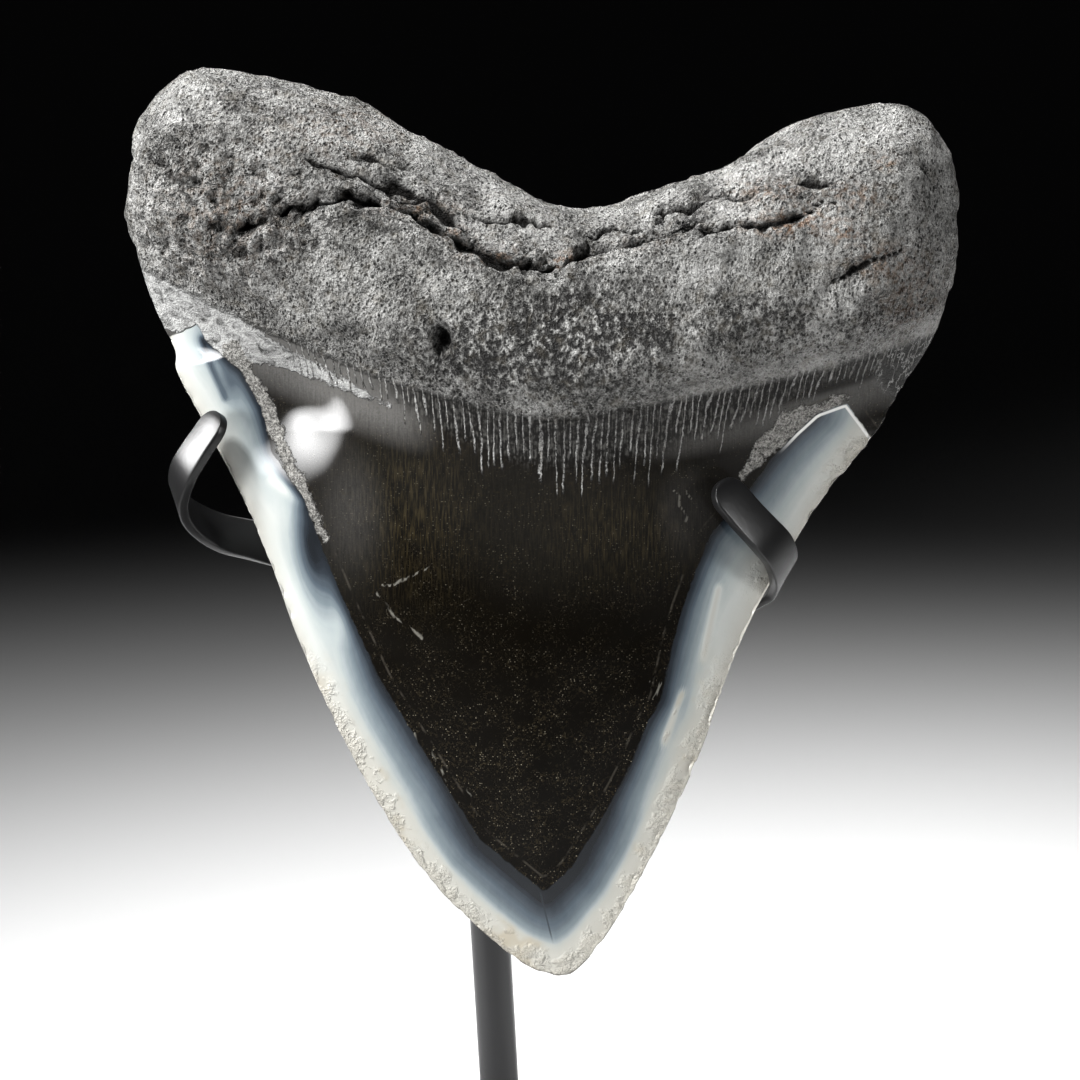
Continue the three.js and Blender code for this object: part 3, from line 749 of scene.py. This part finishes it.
    # Unpolished strips beside the enamel, and the chalky shoulder under the left lobe.
    sand = (0.5 * grains + 0.5 * at.noise(1.6, 3, 0.7)).ramp(
        (0.36, (0.02, 0.019, 0.017)), (0.47, (0.15, 0.146, 0.136)), (0.6, (0.42, 0.41, 0.385)),
    )
    matt = (start.attribute("grit") + 3.4 * (at.noise(0.6, 4, 0.7) - 0.5)).step(-0.1, 0.3)
    chalk = (start.attribute("shoulder") + 2.6 * (at.noise(0.6, 4, 0.7) - 0.5)).step(-0.1, 0.2)
    crumb = at.scaled((0.6, 1.0, 1.0)).noise(0.8, 4, 0.7, 0.8)
    chalky = crumb.ramp(
        (0.34, (0.05, 0.05, 0.048)), (0.44, (0.24, 0.24, 0.235)), (0.6, (0.45, 0.45, 0.44)),
    )

    # A veined patch of the neck at the right edge.
    ring = start.attribute("ring").step(0.3, 0.6)
    veins = (at.scaled((1.0, 0.45, 1.0)).noise(0.55, 3, 0.6) - 0.5).magnitude().step(0.022, 0.008)
    ringed = mix(mix((0.008, 0.008, 0.008), (0.07, 0.069, 0.066), crumb), (0.3, 0.3, 0.29), veins)
    dentine = mix(dentine, ringed, ring)

    # All of these, one over another: core, shoulder and strips, then bare enamel, then root.
    bare = (core + 0.5 * (at.noise(0.8, 2, 0.5) - 0.5)).step(0.12, -0.12)
    blade = mix(mix(dentine, chalky, chalk), sand, matt)
    matt = matt.most(chalk).most(0.7 * ring)
    blade = mix(blade, enamel, bare)
    colour = mix(blade, skin, covered)

    polished = (1 - covered) * (1 - 0.75 * apron) * (1 - matt * (1 - bare))
    polished = polished * (1 - 0.6 * rough_patch * bare)
    roughness = 0.62 - 0.49 * polished - 0.26 * grains.step(0.5, 0.6) * rough
    height = covered * relief * (1 - 0.75 * hem) + covered * 0.2
    height = height + 0.35 * matt * (1 - bare) * (1 - rough) * (grains + crumb)
    height = height + 0.28 * rough_patch * bare * (1 - rough) * (grains + crumb)
    coat = 0.7 * polished * bare.most(start.attribute("buffed"))
    return finish(
        Base_Color=colour, Roughness=roughness, Coat_Weight=coat, Coat_Roughness=0.05,
        Specular_IOR_Level=0.16, Normal=height.bump(1.0, 1.5 * MM),
    )


mesh.materials.append(fossil_material())
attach(tooth, "root")
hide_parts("tooth")

# ---- The arms ---------------------------------------------------------------
# Two hooks of flat steel strap, bent cold round the blade's edges, with rounded ends and
# softened corners. They are brazed to the post's front and painted satin black.
STRAP_WIDE, STRAP_THICK, STRAP_CORNER = 6.35, 1.6, 0.32

# Each row is a point of the strap's middle line, in the tooth's mm, and the direction of the
# strap's width there.
LEFT_ARM = [
    (-50.1, 19.5, 5.6, -0.52, 0.34, -0.78), (-51.8, 16.9, 5.5, -0.52, 0.34, -0.78),
    (-53.9, 13.9, 5.1, -0.52, 0.35, -0.77), (-55.6, 11.3, 4.1, -0.5, 0.38, -0.78),
    (-56.7, 9.0, 2.3, -0.42, 0.46, -0.78), (-57.1, 6.8, 0.1, -0.3, 0.58, -0.76),
    (-56.4, 4.7, -2.5, -0.2, 0.7, -0.69), (-54.3, 2.7, -5.2, -0.14, 0.82, -0.56),
    (-50.9, 0.9, -7.5, -0.08, 0.9, -0.42), (-46.3, -0.2, -9.0, -0.02, 0.95, -0.3),
    (-40.5, -1.7, -9.4, 0.06, 0.99, -0.1), (-31.6, -4.1, -9.2, 0.1, 0.99, 0.06),
    (-20.5, -7.2, -8.7, 0.06, 0.98, 0.18), (-9.6, -9.2, -8.6, 0.0, 0.966, 0.259),
]
RIGHT_ARM = [
    (25.9, 8.9, 11.6, 0.62, 0.55, -0.56), (28.2, 6.3, 11.2, 0.62, 0.55, -0.56),
    (30.7, 3.5, 10.3, 0.62, 0.56, -0.55), (33.3, 0.8, 8.8, 0.62, 0.57, -0.54),
    (35.3, -1.4, 6.4, 0.61, 0.62, -0.5), (36.3, -3.5, 3.5, 0.57, 0.7, -0.43),
    (36.5, -5.2, 0.3, 0.5, 0.79, -0.35), (35.6, -6.5, -2.8, 0.42, 0.86, -0.29),
    (33.3, -7.6, -5.5, 0.32, 0.91, -0.25), (30.2, -9.0, -7.6, 0.2, 0.95, -0.2),
    (25.5, -10.4, -9.0, 0.08, 0.98, -0.1), (18.5, -12.3, -9.8, -0.03, 0.99, 0.05),
    (8.4, -14.8, -10.3, -0.04, 0.98, 0.18), (-15.6, -16.6, -10.6, 0.0, 0.966, 0.259),
]


def through(rows, steps):
    """An open curve through the rows, by the same cubic arcs, with its end rows mirrored outwards."""
    p = np.array(rows)
    p = np.concatenate([[2 * p[0] - p[1]], p, [2 * p[-1] - p[-2]]])
    t = (np.arange(steps) / steps)[None, :, None]
    a, b, c, e = p[:-3, None], p[1:-2, None], p[2:-1, None], p[3:, None]
    arcs = b + t * (c - a) / 2 + t**2 * (a - 2.5 * b + 2 * c - e / 2)
    arcs = arcs + t**3 * (1.5 * (b - c) + (e - a) / 2)
    return np.concatenate([arcs.reshape(-1, p.shape[1]), [p[-2]]])


def rounded_section(wide, thick, corner, steps=5):
    """A rectangle's outline, anticlockwise, each corner a quarter circle."""
    turn = np.linspace(0, np.pi / 2, steps)
    centres = [(1, 1, 0), (-1, 1, 1), (-1, -1, 2), (1, -1, 3)]
    arcs = [
        np.stack([
            i * (wide / 2 - corner) + corner * np.cos(turn + k * np.pi / 2),
            j * (thick / 2 - corner) + corner * np.sin(turn + k * np.pi / 2),
        ], axis=1)
        for i, j, k in centres
    ]
    return np.concatenate(arcs)


def sweep(centre, wide, thick, section, name):
    """A closed body: the section's points carried along a path, with a fan at each end.

    Point (i, j) is centre i, plus the section's first part times wide i, plus its second times
    thick i. The section can differ from station to station.
    """
    stations, around = section.shape[:2]
    body = centre[:, None] + section[..., :1] * wide[:, None] + section[..., 1:] * thick[:, None]
    ends = body[[0, -1]].mean(axis=1)
    points = np.concatenate([body.reshape(-1, 3), ends])
    index = np.arange(stations * around).reshape(stations, around)
    beside = np.roll(index, -1, axis=1)
    walls = np.stack([index[:-1], beside[:-1], beside[1:], index[1:]], axis=-1).reshape(-1, 4)
    first, last = len(points) - 2, len(points) - 1
    caps = [(first, b, a) for a, b in zip(index[0], beside[0])]
    caps += [(last, a, b) for a, b in zip(index[-1], beside[-1])]
    mesh = bpy.data.meshes.new(name)
    mesh.from_pydata(points.tolist(), [], walls.tolist() + caps)
    mesh.shade_smooth()
    made = bpy.data.objects.new(name, mesh)
    bpy.context.scene.collection.objects.link(made)
    return made


def strap(rows, name):
    """The strap's rounded section swept along the rows; its first end is a half circle in plan."""
    path = through(rows, 14)
    centre, wide = to_stand(path[:, :3]), path[:, 3:]
    wide = (to_stand(wide) - to_stand(np.zeros((1, 3)))) / MM
    run = np.gradient(centre, axis=0)
    length = np.concatenate([[0], np.cumsum(np.linalg.norm(np.diff(centre, axis=0), axis=1))]) / MM
    half = STRAP_WIDE / 2
    tip = half * (1 - np.cos(np.linspace(0.1, 1, 14) * np.pi / 2))
    along = np.concatenate([tip, length[length > half + 0.2]])
    columns = np.concatenate([centre, run, wide], axis=1).T
    picked = np.array([np.interp(along, length, column) for column in columns]).T
    centre, run, wide = picked[:, :3], picked[:, 3:6], picked[:, 6:]
    run /= np.linalg.norm(run, axis=1, keepdims=True)
    wide -= run * np.sum(wide * run, axis=1, keepdims=True)
    wide /= np.linalg.norm(wide, axis=1, keepdims=True)
    thick = np.cross(run, wide)
    reach = np.sqrt(np.maximum(0.0, half**2 - np.maximum(0, half - along) ** 2)) / half
    soft = np.clip(1 - 0.3 * np.exp(-along / 0.25), 0, 1)
    section = rounded_section(STRAP_WIDE, STRAP_THICK, STRAP_CORNER) * MM
    section = np.stack([section[:, 0] * reach[:, None], section[:, 1] * soft[:, None]], axis=-1)
    return sweep(centre, wide, thick, section, name)


def black_steel(name, wear, grey):
    """Satin black paint: faint orange peel, thinner and greyer in scuffs."""
    start, finish = new_material(name)
    at = start.node("ShaderNodeTexCoord", output="Object")
    peel = at.noise(1400, 2, 0.5)
    cloudy = at.noise(90, 3, 0.6)
    scuffs = at.noise(420, 4, 0.75).step(0.66 - wear, 0.74 - wear) * cloudy.step(0.5, 0.7)
    colour = mix((grey, grey, grey * 1.05), (1.4 * grey, 1.4 * grey, 1.45 * grey), cloudy)
    colour = mix(colour, (0.14, 0.14, 0.14), 0.6 * scuffs)
    return finish(
        Base_Color=colour, Roughness=0.27 + 0.1 * cloudy + 0.15 * scuffs,
        Specular_IOR_Level=0.4, Normal=peel.bump(0.35, 0.05 * MM),
    )


arm_paint = black_steel("arm_paint", 0.0, 0.005)
for rows, name in ((LEFT_ARM, "left_arm"), (RIGHT_ARM, "right_arm")):
    arm = strap(rows, name + "_strap")
    arm.data.materials.append(arm_paint)
    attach(arm, "root")
    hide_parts(name)

# ---- The post ---------------------------------------------------------------
# Round steel bar, set a little to the left by a slight bend above its foot. Painted with the
# arms, and scuffed where it is handled; its black is drawn greyer than the arms', as painted
# light from the pale floor. It is closed below: the hole that the CAD post has for the screw
# is left out, so the screw's hidden shaft runs through solid bar here.
POST_RADIUS = 3.175
POST_LEAN = np.tan(np.radians(3))
POST_CHAMFER = 0.4
POST_STRAIGHT, POST_BEND = 10 * MM, 16 * MM


def post():
    """A circle carried up a line that starts upright and leans after a short parabola."""
    low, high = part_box("post")
    inset = POST_CHAMFER * MM
    z = np.concatenate([[low.z], np.linspace(low.z + inset, high.z - inset, 90), [high.z]])
    above = z - low.z - POST_STRAIGHT
    bent = np.maximum(0, above) ** 2 / (2 * POST_BEND)
    lean = np.where(above < POST_BEND, bent, above - POST_BEND / 2)
    depth = np.full(len(z), (low.y + high.y) / 2)
    centre = np.stack([-POST_LEAN * lean, depth, z], axis=1)
    turn = np.linspace(0, 2 * np.pi, 65)[:-1]
    radius = np.full(len(z), POST_RADIUS)
    radius[[0, -1]] -= POST_CHAMFER
    circle = np.stack([np.cos(turn), np.sin(turn)], axis=1)
    section = circle[None] * radius[:, None, None] * MM
    wide = np.tile([1.0, 0, 0], (len(z), 1))
    thick = np.tile([0, 1.0, 0], (len(z), 1))
    return sweep(centre, wide, thick, section, "post_bar")


bar = post()
# The post's paint is a greyer copy of the arms': painted light from the floor.
bar.data.materials.append(black_steel("post_paint_lit_by_floor", 0.04, 0.018))
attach(bar, "root")
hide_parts("post")

# ---- The base, screw and felt -----------------------------------------------
# A steel plate with chamfered top edges, painted like the post, which a countersunk screw
# holds from below. Felt is glued to its underside, so that it doesn't mark a shelf.
def zinc():
    """Zinc plating: bluish grey metal with faint turning marks."""
    start, finish = new_material("zinc")
    at = start.node("ShaderNodeTexCoord", output="Object")
    marks = at.noise(900, 3, 0.6)
    colour = mix((0.5, 0.51, 0.53), (0.62, 0.63, 0.65), marks)
    return finish(Base_Color=colour, Metallic=1.0, Roughness=0.3 + 0.15 * marks)


def felt():
    """Pressed black felt: matt, with short tangled fibres."""
    start, finish = new_material("felt")
    at = start.node("ShaderNodeTexCoord", output="Object")
    fibre = at.noise(2600, 4, 0.8, 1.5)
    colour = mix((0.008, 0.008, 0.009), (0.035, 0.035, 0.037), fibre)
    return finish(Base_Color=colour, Roughness=0.95, Normal=fibre.bump(0.8, 0.2 * MM))


base_paint = black_steel("base_paint", 0.0, 0.01)
for node, material in (("base", base_paint), ("base_screw", zinc()), ("base_felt", felt())):
    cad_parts[node].data.materials.clear()
    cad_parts[node].data.materials.append(material)

# ---- The studio -------------------------------------------------------------
# A plain pale floor that runs back into shade. Soft boxes with grids, which keep their light
# off the floor's far side, stand left, above and right. A lamp high behind lights the floor.
middle = (6.3 * MM, -9.6 * MM, 134.5 * MM)


def floor():
    """A flat square on which the stand rests."""
    size = 6.0
    mesh = bpy.data.meshes.new("floor")
    corners = [(-size, -size, 0), (size, -size, 0), (size, size, 0), (-size, size, 0)]
    mesh.from_pydata(corners, [], [(0, 1, 2, 3)])
    start, finish = new_material("floor")
    at = start.node("ShaderNodeTexCoord", output="Object")
    colour = mix((0.81, 0.81, 0.81), (0.84, 0.84, 0.84), at.noise(6, 2, 0.5))
    mesh.materials.append(finish(Base_Color=colour, Roughness=0.9))
    made = bpy.data.objects.new("floor", mesh)
    bpy.context.scene.collection.objects.link(made)
    made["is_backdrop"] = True


def put_lamp(name, lamp, place, aim):
    """Links a lamp at a place, turned to shine at its aim."""
    made = bpy.data.objects.new(name, lamp)
    bpy.context.scene.collection.objects.link(made)
    made.location = place
    made.rotation_euler = (Vector(aim) - Vector(place)).to_track_quat("-Z", "Y").to_euler()


def soft_box(name, place, aim, size, power, grid):
    """A rectangular soft light whose grid lets out no ray beyond half its angle."""
    lamp = bpy.data.lights.new(name, "AREA")
    lamp.shape = "RECTANGLE"
    lamp.size, lamp.size_y = size
    lamp.energy = power
    lamp.spread = np.radians(grid)
    put_lamp(name, lamp, place, aim)


floor()
soft_box("left_box", (-0.70, -0.44, 0.21), (-0.02, -0.06, 0.12), (0.38, 0.38), 0.55, 32)
soft_box("side_box", (-0.70, 0.22, 0.40), middle, (0.25, 0.35), 0.5, 34)
soft_box("top_box", (-0.42, -0.24, 0.86), (0, 0, 0.17), (0.14, 0.14), 0.38, 30)
soft_box("right_box", (0.62, -0.38, 0.26), (0.03, -0.04, 0.12), (0.08, 0.45), 0.16, 32)

pool = bpy.data.lights.new("floor_pool", "SPOT")
pool.energy = 50
pool.spot_size = np.radians(42)
pool.spot_blend = 1.0
pool.shadow_soft_size = 0.12
put_lamp("floor_pool", pool, (0.05, 0.50, 1.10), (0.01, -0.04, 0.0))

world = bpy.data.worlds.new("studio")
world.use_nodes = True
world.node_tree.nodes["Background"].inputs["Color"].default_value = (0.5, 0.5, 0.52, 1)
world.node_tree.nodes["Background"].inputs["Strength"].default_value = 0.003
bpy.context.scene.world = world
bpy.context.scene.view_settings.view_transform = "Standard"

# ---- The camera -------------------------------------------------------------
# A long lens a little above the tooth, nearly square to its face.
VIEW_ELEVATION = np.radians(16)
VIEW_ANGLE = np.radians(16)
VIEW_HEIGHT = 167.4 * MM

distance = VIEW_HEIGHT / 2 / np.tan(VIEW_ANGLE / 2)
camera = bpy.data.cameras.new("camera")
camera.sensor_fit = "VERTICAL"
camera.angle = VIEW_ANGLE
camera.clip_start = 0.01
eye = bpy.data.objects.new("camera", camera)
bpy.context.scene.collection.objects.link(eye)
eye.location = (
    middle[0],
    middle[1] - distance * np.cos(VIEW_ELEVATION),
    middle[2] + distance * np.sin(VIEW_ELEVATION),
)
eye.rotation_euler = (np.pi / 2 - VIEW_ELEVATION, 0, 0)
bpy.context.scene.camera = eye

boxes = {"cad": cad_box, "visual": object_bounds()}
{k: [[float(x) for x in corner] for corner in b] for k, b in boxes.items()}
